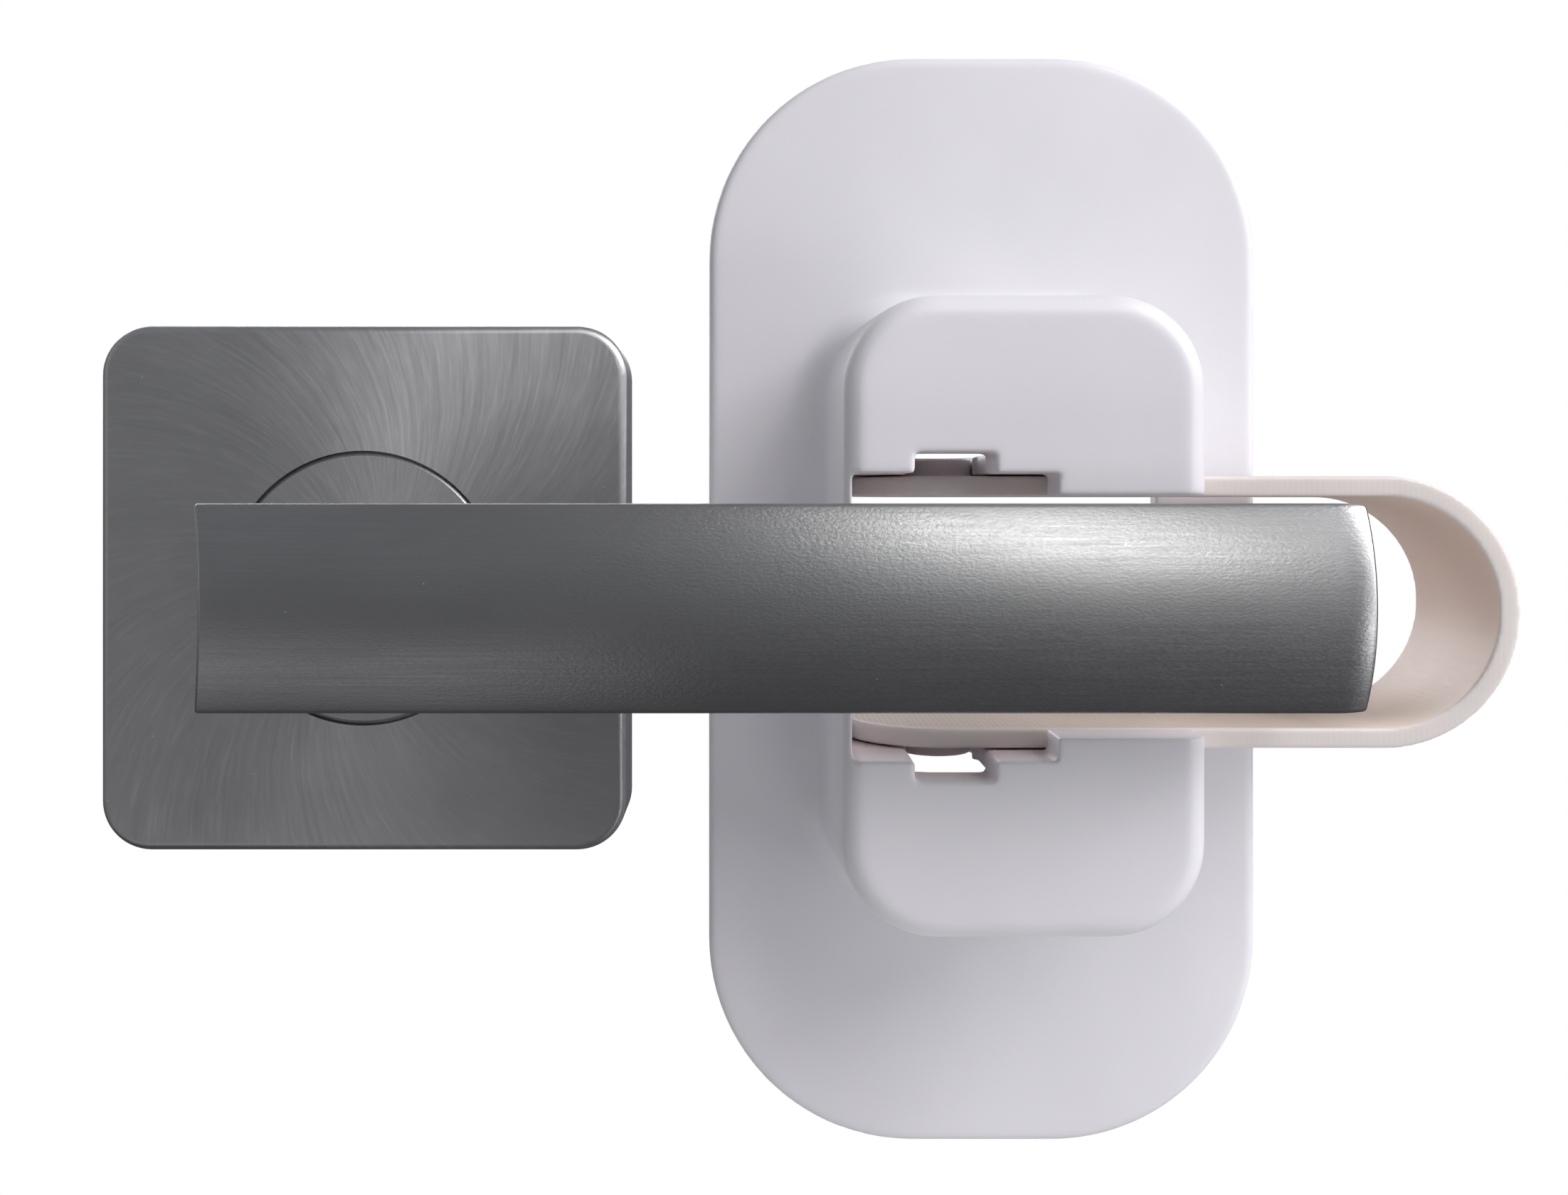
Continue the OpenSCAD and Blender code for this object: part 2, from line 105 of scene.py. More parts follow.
# %% Lamps
def lamp(name, place, aim, long_way, size, power, tint):
    """A soft rectangular lamp at a place, facing aim, with its long side along long_way."""
    made = bpy.data.lights.new(name, "AREA")
    made.shape = "RECTANGLE"
    made.size, made.size_y = size
    made.energy = power
    made.color = colour(tint)[:3]
    away = (Vector(place) - Vector(aim)).normalized()
    side = (Vector(long_way) - Vector(long_way).dot(away) * away).normalized()
    third = away.cross(side)
    turned = bpy.data.objects.new(name, made)
    turned.matrix_world = Matrix(([*side, 0], [*third, 0], [*away, 0], [*place, 1])).transposed()
    scene.collection.objects.link(turned)
    return turned


bar_middle = Vector((85 * MM, -48 * MM, 6 * MM))
bar_start = Vector((30 * MM, -45 * MM, 0))
lock_middle = Vector((75 * MM, 0, 0))
along_bar, off_door, upright = (1, 0, 0), (0, 1, 0), (0, 0, 1)
lamps = [
    lamp("long soft lamp", (0.202, -0.505, 0.376), aim=bar_middle, long_way=(0.161, -0.171, -0.27),
         size=(0.34, 0.11), power=0.63, tint="#fffefc"),
    lamp("upper right fill", (0.70, -0.29, 0.58), aim=lock_middle, long_way=off_door,
         size=(0.5, 0.5), power=6.1, tint="#fffeff"),
    lamp("right side fill", (0.80, -0.42, 0.16), aim=lock_middle, long_way=upright,
         size=(0.7, 0.6), power=2.0, tint="#fdfcff"),
    lamp("low right lamp", (0.60, -0.65, -0.20), aim=lock_middle, long_way=upright,
         size=(0.14, 0.14), power=0.45, tint="#fdfcff"),
    lamp("left side fill", (-0.60, -0.34, 0.14), aim=lock_middle, long_way=upright,
         size=(0.5, 0.5), power=0.18, tint="#fdfcff"),
    lamp("low left fill", (-0.20, -0.42, -0.32), aim=bar_start, long_way=along_bar,
         size=(0.40, 0.26), power=0.13, tint="#fdfcff"),
    lamp("fill behind the door", (-0.25, 0.7, 0.35), aim=lock_middle, long_way=along_bar,
         size=(0.8, 0.6), power=4.0, tint="#fbfbff")]
print("lamps:", [placed.name for placed in lamps])

# %% [markdown]
# ## Adding nodes
# A shader is a net of nodes. One small function adds each of them. An input may be a plain value, a node,
# whose first output is then linked, or one chosen output of a node.


# %% One function for nodes
def fill(tree, node, inputs):
    """Fills a node's inputs, each with a value, a node (its first output) or a node's output."""
    for socket, value in inputs.items():
        if isinstance(value, bpy.types.Node):
            value = value.outputs[0]
        if isinstance(value, bpy.types.NodeSocket):
            tree.links.new(value, node.inputs[socket])
        else:
            node.inputs[socket].default_value = value


def add(tree, kind, inputs=None, **settings):
    """Adds one node with its settings, and fills its inputs."""
    made = tree.nodes.new(kind)
    for name, value in settings.items():
        setattr(made, name, value)
    fill(tree, made, inputs or {})
    return made


# The sockets of a Mix node in colour mode, by number, because several share a name.
SHARE, FIRST, SECOND, MIXED = 0, 6, 7, 2
print("a colour Mix node takes sockets", (SHARE, FIRST, SECOND), "and gives", MIXED)

# %% [markdown]
# ## Room and floor
# A dim room does the rest of the lighting. It is darker below and lighter above, like a room with a pale
# ceiling, and the metal mirrors that change. The room is seen as plain white, so the outline of the
# pieces stays clean. The floor lies well below the lock and doesn't show in the metal.

# %% Room
LIGHT_BELOW, LIGHT_ABOVE, TURN = 0.09, 0.27, 0.45
room = bpy.data.worlds.new("room")
scene.world = room
room.use_nodes = True
air = room.node_tree
air.nodes.clear()
way = add(air, "ShaderNodeTexCoord").outputs["Generated"]
rise = add(air, "ShaderNodeSeparateXYZ", {"Vector": way}).outputs["Z"]
strength = add(air, "ShaderNodeMapRange", {
    "Value": rise, "From Min": -TURN, "From Max": TURN, "To Min": LIGHT_BELOW, "To Max": LIGHT_ABOVE})
dim = add(air, "ShaderNodeBackground", {"Color": colour("#eef0f6"), "Strength": strength})
white = add(air, "ShaderNodeBackground", {"Color": colour("#ffffff"), "Strength": 1.0})
looked_at = add(air, "ShaderNodeLightPath").outputs["Is Camera Ray"]
seen = add(air, "ShaderNodeMixShader", {0: looked_at, 1: dim, 2: white})
add(air, "ShaderNodeOutputWorld", {"Surface": seen})
scene.view_settings.view_transform = "Standard"
print("room light:", LIGHT_BELOW, "from below to", LIGHT_ABOVE, "from above")

# %% Floor
floor_mesh = bpy.data.meshes.new("floor")
shaper = bmesh.new()
bmesh.ops.create_grid(shaper, x_segments=8, y_segments=8, size=0.5)
shaper.to_mesh(floor_mesh)
shaper.free()
floor = bpy.data.objects.new("floor", floor_mesh)
floor.location = (50 * MM, 0, -0.36)
floor.visible_glossy = False
scene.collection.objects.link(floor)

# %% [markdown]
# ## Starting a material
# Every finish here is one Principled shader. Numbers that are the same all over a surface are set on the
# shader itself. What changes over a surface, such as grain or mottling, is worked out by nodes from the
# place on the piece, in metres, so that a pattern keeps its real size. Noise has about one grain in each
# unit of its input, so a Mapping node first scales the place by one over the size of the grain.
# Most noise values lie between 0.3 and 0.7, and a Map Range node spreads those to the numbers wanted.


# %% Material helpers
def begin(name, values):
    """A new material with a Principled shader, and the place on the piece in metres."""
    made = bpy.data.materials.new(name)
    made.use_nodes = True
    tree = made.node_tree
    shader = tree.nodes["Principled BSDF"]
    fill(tree, shader, values)
    place = add(tree, "ShaderNodeTexCoord").outputs["Object"]
    return made, tree, shader, place


def grain(*sizes_mm):
    """The scale that gives noise this grain: one size in mm, or one each for X, Y and Z."""
    sizes = sizes_mm * 3 if len(sizes_mm) == 1 else sizes_mm
    return tuple(1 / (size * MM) for size in sizes)


MOST_NOISE = {"From Min": 0.3, "From Max": 0.7}
print("scale for a grain of 0.9 mm:", [round(s) for s in grain(0.9)])

# %% [markdown]
# ## Brushed nickel
# The lever is a zinc casting, plated with nickel and brushed with an abrasive belt that ran along the bar.
# The belt leaves fine grooves, so light spreads across them far more than along them. That is
# anisotropy: the shader needs the direction that light spreads in at each point. On the bar it is Z,
# square to the grooves, and it is turned from the piece's own axes into the room's, so that it goes
# round with the lever. The grooves are 0.05 mm wide on the real bar. They are drawn 0.25 mm wide here,
# which is as fine as shows. Between the grooves the plating has a fine frosted grain that sparkles where
# the lamp catches it, and a few specks of dust lie on it.


# %% Brushed nickel for the bar
def dust(tree, place):
    """1 on bright specks of dust 0.2 mm across, 0 elsewhere."""
    # There is one speck in each 5 mm of space, so only a few of them meet a surface.
    near = add(tree, "ShaderNodeTexVoronoi", {"Vector": place, "Scale": 1 / (5 * MM)})
    return add(tree, "ShaderNodeMapRange", {
        "Value": near, "From Min": 0.014, "From Max": 0.022, "To Min": 1.0, "To Max": 0.0})


def bar_nickel():
    made, tree, shader, place = begin("nickel plate, belt-brushed along the bar",
                                      {"Metallic": 1.0, "Anisotropic": 0.8})
    grooves = add(tree, "ShaderNodeTexNoise", {
        "Vector": add(tree, "ShaderNodeMapping", {"Vector": place, "Scale": grain(14, 0.25, 0.25)}),
        "Scale": 1.0, "Detail": 3.0, "Roughness": 0.6})
    frost = add(tree, "ShaderNodeTexNoise", {
        "Vector": add(tree, "ShaderNodeMapping", {"Vector": place, "Scale": grain(0.45, 0.22, 0.22)}),
        "Scale": 1.0, "Detail": 2.0, "Roughness": 0.6})
    clouds = add(tree, "ShaderNodeTexNoise", {
        "Vector": add(tree, "ShaderNodeMapping", {"Vector": place, "Scale": grain(16, 7, 7)}),
        "Scale": 1.0, "Detail": 3.0, "Roughness": 0.55})
    cloudy = add(tree, "ShaderNodeMapRange", {
        "Value": clouds, "From Min": 0.25, "From Max": 0.75, "To Min": 0.0, "To Max": 1.0})
    plated = add(tree, "ShaderNodeMix", {
        SHARE: cloudy, FIRST: colour("#b0b0b1"), SECOND: colour("#bababb")}, data_type="RGBA")
    in_groove = add(tree, "ShaderNodeMapRange", {
        "Value": grooves, **MOST_NOISE, "To Min": 0.0, "To Max": 0.25})
    brushed = add(tree, "ShaderNodeMix", {
        SHARE: in_groove, FIRST: plated.outputs[MIXED], SECOND: colour("#9a9a9b")}, data_type="RGBA")
    dusty = add(tree, "ShaderNodeMix", {
        SHARE: dust(tree, place), FIRST: brushed.outputs[MIXED], SECOND: colour("#ffffff")},
        data_type="RGBA")
    groove_rough = add(tree, "ShaderNodeMapRange", {
        "Value": grooves, **MOST_NOISE, "To Min": 0.31, "To Max": 0.37})
    frost_rough = add(tree, "ShaderNodeMapRange", {
        "Value": frost, **MOST_NOISE, "To Min": -0.03, "To Max": 0.03})
    grooved = add(tree, "ShaderNodeBump", {
        "Height": grooves, "Distance": 0.005 * MM, "Strength": 1.0})
    frosted = add(tree, "ShaderNodeBump", {
        "Height": frost, "Distance": 0.019 * MM, "Strength": 1.0, "Normal": grooved})
    fill(tree, shader, {
        "Base Color": dusty.outputs[MIXED],
        "Roughness": add(tree, "ShaderNodeMath", {0: groove_rough, 1: frost_rough}, operation="ADD"),
        "Normal": frosted,
        "Tangent": add(tree, "ShaderNodeVectorTransform", {"Vector": (0.0, 0.0, 1.0)},
                       vector_type="VECTOR", convert_from="OBJECT", convert_to="WORLD")})
    return made


nickel_bar = bar_nickel()
print(nickel_bar.name, len(nickel_bar.node_tree.nodes), "nodes")

# %% [markdown]
# The square cover was brushed on a turntable, so its grooves run round the spindle, and light spreads
# across them. That gives fans of light beside the ring. Here the fans are turned, as if the pad had moved
# outwards while the table went round and left spirals: light spreads 43 degrees off the outward way.
# The grooves are too fine to draw. What the eye sees is that the fans break up into spokes, because the
# turntable shook a little. The spokes come from noise that depends on the angle round the spindle, and
# they curl a little as the radius grows. Finer streaks between them are made in the same way.


# %% Turned nickel for the square cover and the ring
LEAN = math.radians(43)
CURL_PER_METRE = 0.35 / (20 * MM)
STREAK_CIRCLE = 70.0
STREAK_LENGTH = 5 * MM


def turned_nickel(name, stretch, spoke_depth, dark, light):
    """Nickel brushed round the spindle. More stretch makes a sharper fan."""
    made, tree, shader, place = begin(name, {"Metallic": 1.0, "Anisotropic": stretch})
    flat = add(tree, "ShaderNodeVectorMath", {0: place, 1: (1.0, 0.0, 1.0)}, operation="MULTIPLY")
    radius = add(tree, "ShaderNodeVectorMath", {0: flat}, operation="LENGTH").outputs["Value"]
    outward = add(tree, "ShaderNodeVectorMath", {0: flat}, operation="NORMALIZE")
    spread_way = add(tree, "ShaderNodeVectorRotate", {
        "Vector": outward, "Axis": (0.0, 1.0, 0.0), "Angle": LEAN})
    curled = add(tree, "ShaderNodeVectorRotate", {
        "Vector": outward, "Axis": (0.0, 1.0, 0.0),
        "Angle": add(tree, "ShaderNodeMath", {0: radius, 1: CURL_PER_METRE}, operation="MULTIPLY")})
    spokes = add(tree, "ShaderNodeTexNoise", {
        "Vector": curled, "Scale": 30.0, "Detail": 4.0, "Roughness": 0.65})
    # Noise read on a circle this big has about 440 streaks in a turn. Y moves it on along each streak.
    circle = add(tree, "ShaderNodeVectorMath", {
        0: curled, 1: (STREAK_CIRCLE, STREAK_CIRCLE, STREAK_CIRCLE)}, operation="MULTIPLY")
    moved_on = add(tree, "ShaderNodeMath", {0: radius, 1: 1 / STREAK_LENGTH}, operation="MULTIPLY")
    streak_place = add(tree, "ShaderNodeVectorMath", {
        0: circle, 1: add(tree, "ShaderNodeCombineXYZ", {"Y": moved_on})}, operation="ADD")
    streaks = add(tree, "ShaderNodeTexNoise", {
        "Vector": streak_place, "Scale": 1.0, "Detail": 3.0, "Roughness": 0.7})
    frost = add(tree, "ShaderNodeTexNoise", {
        "Vector": add(tree, "ShaderNodeMapping", {"Vector": place, "Scale": grain(0.3)}),
        "Scale": 1.0, "Detail": 1.0, "Roughness": 0.5})
    clouds = add(tree, "ShaderNodeTexNoise", {
        "Vector": add(tree, "ShaderNodeMapping", {"Vector": place, "Scale": grain(13)}),
        "Scale": 1.0, "Detail": 3.0, "Roughness": 0.55})
    cloudy = add(tree, "ShaderNodeMapRange", {
        "Value": clouds, "From Min": 0.25, "From Max": 0.75, "To Min": 0.0, "To Max": 1.0})
    plated = add(tree, "ShaderNodeMix", {
        SHARE: cloudy, FIRST: colour(dark), SECOND: colour(light)}, data_type="RGBA")
    on_streak = add(tree, "ShaderNodeMapRange", {
        "Value": streaks, "From Min": 0.50, "From Max": 0.72, "To Min": 0.0, "To Max": 0.3})
    brushed = add(tree, "ShaderNodeMix", {
        SHARE: on_streak, FIRST: plated.outputs[MIXED], SECOND: colour("#e4e4e5")}, data_type="RGBA")
    dusty = add(tree, "ShaderNodeMix", {
        SHARE: dust(tree, place), FIRST: brushed.outputs[MIXED], SECOND: colour("#ffffff")},
        data_type="RGBA")
    spoke_rough = add(tree, "ShaderNodeMapRange", {
        "Value": spokes, **MOST_NOISE, "To Min": 0.47 - spoke_depth, "To Max": 0.49 + spoke_depth})
    streak_rough = add(tree, "ShaderNodeMapRange", {
        "Value": streaks, **MOST_NOISE, "To Min": -0.04, "To Max": 0.04})
    streaked = add(tree, "ShaderNodeBump", {
        "Height": streaks, "Distance": 0.010 * MM, "Strength": 1.0})
    frosted = add(tree, "ShaderNodeBump", {
        "Height": frost, "Distance": 0.003 * MM, "Strength": 1.0, "Normal": streaked})
    fill(tree, shader, {
        "Base Color": dusty.outputs[MIXED],
        "Roughness": add(tree, "ShaderNodeMath", {0: spoke_rough, 1: streak_rough}, operation="ADD"),
        "Normal": frosted,
        "Tangent": add(tree, "ShaderNodeVectorTransform", {"Vector": spread_way},
                       vector_type="VECTOR", convert_from="OBJECT", convert_to="WORLD")})
    return made


nickel_cover = turned_nickel("nickel plate, brushed on a turntable", 0.62, 0.045, "#c2c2c3", "#cececf")
nickel_ring = turned_nickel("nickel plate, turned ring", 0.35, 0.015, "#c0c0c1", "#cacacb")
print(nickel_cover.name, "and", nickel_ring.name)

# %% [markdown]
# ## Moulded ABS
# The lock's base is ABS, injection moulded in a polished steel mould and filled with white pigment.
# It is semi-gloss: the mould's polish shows as a soft sheen, not a mirror. Up close it has a faint
# orange-peel skin and a few hairline scuffs where it was wiped. A little light travels under the skin,
# which keeps the shadows soft. The faces deep in the channel get a painted shade: a warmer, darker tint
# stands in for the dim light that reaches them there.


# %% Faces that look inwards
loop_low, loop_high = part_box("squeeze_loop")
lock_level = (loop_low.z + loop_high.z) / 2
bend_centre = loop_high.x - (loop_high.z - loop_low.z) / 2


def facing_in(tree, from_middle):
    """1 on faces that look back at the middle from 12 mm away or more, 0 on those nearer or turned: the
    mask for painted shade on inner faces.
    """
    normal = add(tree, "ShaderNodeTexCoord").outputs["Normal"]
    facing = add(tree, "ShaderNodeVectorMath", {0: from_middle, 1: normal}, operation="DOT_PRODUCT")
    return add(tree, "ShaderNodeMapRange", {
        "Value": facing.outputs["Value"],
        "From Min": -12 * MM, "From Max": -8 * MM, "To Min": 1.0, "To Max": 0.0})


print("level of the loop's middle, mm:", round(lock_level / MM, 2))


# %% White ABS
def moulded_abs():
    made, tree, shader, place = begin("ABS, white, moulded semi-gloss", {
        "IOR": 1.53, "Subsurface Weight": 0.12, "Subsurface Radius": (1.2, 1.1, 1.0),
        "Subsurface Scale": MM})
    peel = add(tree, "ShaderNodeTexNoise", {
        "Vector": add(tree, "ShaderNodeMapping", {"Vector": place, "Scale": grain(0.9)}),
        "Scale": 1.0, "Detail": 2.0, "Roughness": 0.5})
    patches = add(tree, "ShaderNodeTexNoise", {
        "Vector": add(tree, "ShaderNodeMapping", {"Vector": place, "Scale": grain(22, 22, 30)}),
        "Scale": 1.0, "Detail": 2.0, "Roughness": 0.5})
    scuffs = add(tree, "ShaderNodeTexNoise", {
        "Vector": add(tree, "ShaderNodeMapping", {"Vector": place, "Scale": grain(0.35, 0.35, 9)}),
        "Scale": 1.0, "Detail": 2.0, "Roughness": 0.65})
    patchy = add(tree, "ShaderNodeMapRange", {
        "Value": patches, **MOST_NOISE, "To Min": 0.0, "To Max": 1.0})
    pigment = add(tree, "ShaderNodeMix", {
        SHARE: patchy, FIRST: colour("#ebe9ee"), SECOND: colour("#f1eff4")}, data_type="RGBA")

    off_level = add(tree, "ShaderNodeVectorMath", {
        0: place, 1: (0.0, 0.0, lock_level)}, operation="SUBTRACT")
    above_middle = add(tree, "ShaderNodeVectorMath", {
        0: off_level, 1: (0.0, 0.0, 1.0)}, operation="MULTIPLY")
    block_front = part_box("lock_base")[0].y
    deep = add(tree, "ShaderNodeMapRange", {
        "Value": add(tree, "ShaderNodeSeparateXYZ", {"Vector": place}).outputs["Y"],
        "From Min": block_front + 2 * MM, "From Max": block_front + 6 * MM, "To Min": 0.0, "To Max": 1.0})
    # Painted shade: inward faces deep in the channel get a darker, warmer colour in place of the dim light
    # there.
    painted_channel_shade = add(tree, "ShaderNodeMath", {0: facing_in(tree, above_middle), 1: deep}, operation="MULTIPLY")
    tone = add(tree, "ShaderNodeMix", {
        SHARE: painted_channel_shade, FIRST: pigment.outputs[MIXED], SECOND: colour("#e6d6d8")}, data_type="RGBA")

    wiped = add(tree, "ShaderNodeMapRange", {
        "Value": scuffs, "From Min": 0.60, "From Max": 0.72, "To Min": 0.0, "To Max": 1.0})
    wiped_rough = add(tree, "ShaderNodeMath", {0: wiped, 1: 0.07}, operation="MULTIPLY")
    peel_rough = add(tree, "ShaderNodeMapRange", {
        "Value": peel, **MOST_NOISE, "To Min": 0.38, "To Max": 0.44})
    peeled = add(tree, "ShaderNodeBump", {"Height": peel, "Distance": 0.005 * MM, "Strength": 1.0})
    scuffed = add(tree, "ShaderNodeBump", {
        "Height": scuffs, "Distance": 0.004 * MM, "Strength": 1.0, "Normal": peeled})
    fill(tree, shader, {
        "Base Color": tone.outputs[MIXED],
        "Roughness": add(tree, "ShaderNodeMath", {0: peel_rough, 1: wiped_rough}, operation="ADD"),
        "Normal": scuffed})
    return made


abs_white = moulded_abs()
print(abs_white.name)

# %% [markdown]
# ## Pale floor
# The floor is plain pale paint, with a trace of roller texture so that it doesn't look like a hole.


# %% Floor paint
def floor_paint():
    made, tree, shader, place = begin("wall paint, pale, rolled matt", {"IOR": 1.45})
    roller = add(tree, "ShaderNodeTexNoise", {
        "Vector": add(tree, "ShaderNodeMapping", {"Vector": place, "Scale": grain(1.5)}),
        "Scale": 1.0, "Detail": 3.0, "Roughness": 0.5})
    rolled = add(tree, "ShaderNodeMapRange", {
        "Value": roller, **MOST_NOISE, "To Min": 0.0, "To Max": 1.0})
    tone = add(tree, "ShaderNodeMix", {
        SHARE: rolled, FIRST: colour("#f4f4f3"), SECOND: colour("#fafaf9")}, data_type="RGBA")
    fill(tree, shader, {
        "Base Color": tone.outputs[MIXED],
        "Roughness": add(tree, "ShaderNodeMapRange", {
            "Value": roller, **MOST_NOISE, "To Min": 0.75, "To Max": 0.9}),
        "Normal": add(tree, "ShaderNodeBump", {
            "Height": roller, "Distance": 0.02 * MM, "Strength": 1.0})})
    return made


floor.data.materials.append(floor_paint())
print("floor is painted")

# %% [markdown]
# ## Moulded nylon
# The squeeze loop has to flex many thousand times, so it is nylon, which is warmer in colour and a little
# cloudy. Its inner face gets a painted shade: a warmer colour stands in for the dim, warm light inside the
# loop, and a darker one along the straight arms stands in for the bar's shadow. The straight arms also
# carry fine darker ribs across the strap, a drag mark from the mould's core. The ribs are 0.6 mm apart. A
# Wave node's bands repeat 20 / (2 pi) times per unit, so the scale is 2 pi / (20 x 0.6 mm).


# %% White nylon
RIB_PITCH = 0.6 * MM
STRAIGHT_FADE = 4 * MM


def moulded_nylon():
    made, tree, shader, place = begin("nylon, off-white, moulded satin", {
        "IOR": 1.52, "Subsurface Weight": 0.3, "Subsurface Radius": (2.2, 1.5, 1.1),
        "Subsurface Scale": MM})
    peel = add(tree, "ShaderNodeTexNoise", {
        "Vector": add(tree, "ShaderNodeMapping", {"Vector": place, "Scale": grain(0.7)}),
        "Scale": 1.0, "Detail": 2.0, "Roughness": 0.5})
    patches = add(tree, "ShaderNodeTexNoise", {
        "Vector": add(tree, "ShaderNodeMapping", {"Vector": place, "Scale": grain(14)}),
        "Scale": 1.0, "Detail": 2.0, "Roughness": 0.5})
    patchy = add(tree, "ShaderNodeMapRange", {
        "Value": patches, **MOST_NOISE, "To Min": 0.0, "To Max": 1.0})
    outer = add(tree, "ShaderNodeMix", {
        SHARE: patchy, FIRST: colour("#dfd8d5"), SECOND: colour("#e6e0dd")}, data_type="RGBA")

    ribs = add(tree, "ShaderNodeTexWave", {
        "Vector": place, "Scale": 2 * math.pi / (20 * RIB_PITCH), "Distortion": 0.6, "Detail": 1.0},
        wave_type="BANDS", bands_direction="X")
    # Painted shadow of the bar: 1 along the straight arms, fading to 0 round the bend.
    straight = add(tree, "ShaderNodeMapRange", {
        "Value": add(tree, "ShaderNodeSeparateXYZ", {"Vector": place}).outputs["X"],
        "From Min": bend_centre - STRAIGHT_FADE, "From Max": bend_centre + STRAIGHT_FADE,
        "To Min": 1.0, "To Max": 0.0})
    rib_shade = add(tree, "ShaderNodeMapRange", {
        "Value": ribs, "From Min": 0.0, "From Max": 1.0, "To Min": 0.75, "To Max": 1.0})
    ribs_in_painted_shadow = add(tree, "ShaderNodeMath", {0: straight, 1: rib_shade}, operation="MULTIPLY")
    # Painted shade on the inner face: warm and light at the bend, darker along the arms where the bar's
    # shadow is painted, with the real ribs in it.
    inner = add(tree, "ShaderNodeMix", {
        SHARE: ribs_in_painted_shadow, FIRST: colour("#eee0d5"), SECOND: colour("#c8b8ac")}, data_type="RGBA")

    off_bend = add(tree, "ShaderNodeVectorMath", {
        0: place, 1: (bend_centre, 0.0, lock_level)}, operation="SUBTRACT")
    off_arms = add(tree, "ShaderNodeVectorMath", {
        0: off_bend, 1: (0.0, -1.0, -1.0)}, operation="MAXIMUM")
    tone = add(tree, "ShaderNodeMix", {
        SHARE: facing_in(tree, off_arms), FIRST: outer.outputs[MIXED], SECOND: inner.outputs[MIXED]},
        data_type="RGBA")
    rib_bump = add(tree, "ShaderNodeBump", {"Height": ribs, "Distance": 0.004 * MM, "Strength": 1.0})
    peeled = add(tree, "ShaderNodeBump", {
        "Height": peel, "Distance": 0.003 * MM, "Strength": 1.0, "Normal": rib_bump})
    fill(tree, shader, {
        "Base Color": tone.outputs[MIXED],
        "Roughness": add(tree, "ShaderNodeMapRange", {
            "Value": peel, **MOST_NOISE, "To Min": 0.40, "To Max": 0.50}),
        "Normal": peeled})
    return made


nylon_white = moulded_nylon()
print(nylon_white.name)

# %% [markdown]
# ## Finishes inside the rosette
# These pieces hide behind the cover, and show from the back or with the door taken away.
# Die-cast zinc has a dull grey skin with fine pits. Zinc-plated steel is brighter and bluish.
# Spring steel is drawn bright, with lines along the wire. Black oxide is thin and shows metal at edges.
# Brass is turned, and natural nylon is a creamy, half-clear plastic. Foam tape is full of small cells.


# %% Plain metals
def plain_metal(name, dark, light, rough, pit_mm, pit_depth_mm, metallic=1.0, drawn=(1.0, 1.0, 1.0)):
    """A metal with mottled tone and fine pits of pit_mm, drawn out by so much along X, Y and Z."""
    made, tree, shader, place = begin(name, {"Metallic": metallic})
    pit_sizes = [pit_mm * times for times in drawn]
    pits = add(tree, "ShaderNodeTexNoise", {
        "Vector": add(tree, "ShaderNodeMapping", {"Vector": place, "Scale": grain(*pit_sizes)}),
        "Scale": 1.0, "Detail": 3.0, "Roughness": 0.6})
    clouds = add(tree, "ShaderNodeTexNoise", {
        "Vector": add(tree, "ShaderNodeMapping", {"Vector": place, "Scale": grain(5)}),
        "Scale": 1.0, "Detail": 3.0, "Roughness": 0.5})
    cloudy = add(tree, "ShaderNodeMapRange", {
        "Value": clouds, **MOST_NOISE, "To Min": 0.0, "To Max": 1.0})
    tone = add(tree, "ShaderNodeMix", {
        SHARE: cloudy, FIRST: colour(dark), SECOND: colour(light)}, data_type="RGBA")
    pit_rough = add(tree, "ShaderNodeMapRange", {
        "Value": pits, **MOST_NOISE, "To Min": rough - 0.06, "To Max": rough + 0.06})
    cloud_rough = add(tree, "ShaderNodeMapRange", {
        "Value": clouds, **MOST_NOISE, "To Min": -0.04, "To Max": 0.04})
    fill(tree, shader, {
        "Base Color": tone.outputs[MIXED],
        "Roughness": add(tree, "ShaderNodeMath", {0: pit_rough, 1: cloud_rough}, operation="ADD"),
        "Normal": add(tree, "ShaderNodeBump", {
            "Height": pits, "Distance": pit_depth_mm * MM, "Strength": 1.0})})
    return made


zinc_cast = plain_metal("zinc, die-cast", "#8f9194", "#a4a6a9", 0.48, 0.35, 0.02)
zinc_plated = plain_metal("steel, bright zinc plated", "#b6babf", "#cdd1d6", 0.30, 0.25, 0.004)
spring_drawn = plain_metal("spring steel, drawn bright", "#9c9da0", "#b7b8ba", 0.27, 0.15, 0.004)
black_oxide = plain_metal("steel, black oxide", "#2b2b2e", "#3d3d41", 0.42, 0.2, 0.005, metallic=0.85)
brass_turned = plain_metal("brass, turned", "#c9a552", "#dcbd6d", 0.28, 0.12, 0.004,
                           drawn=(1.0, 8.0, 1.0))
plain_metals = (zinc_cast, zinc_plated, spring_drawn, black_oxide, brass_turned)
print("plain metals:", [metal.name for metal in plain_metals])


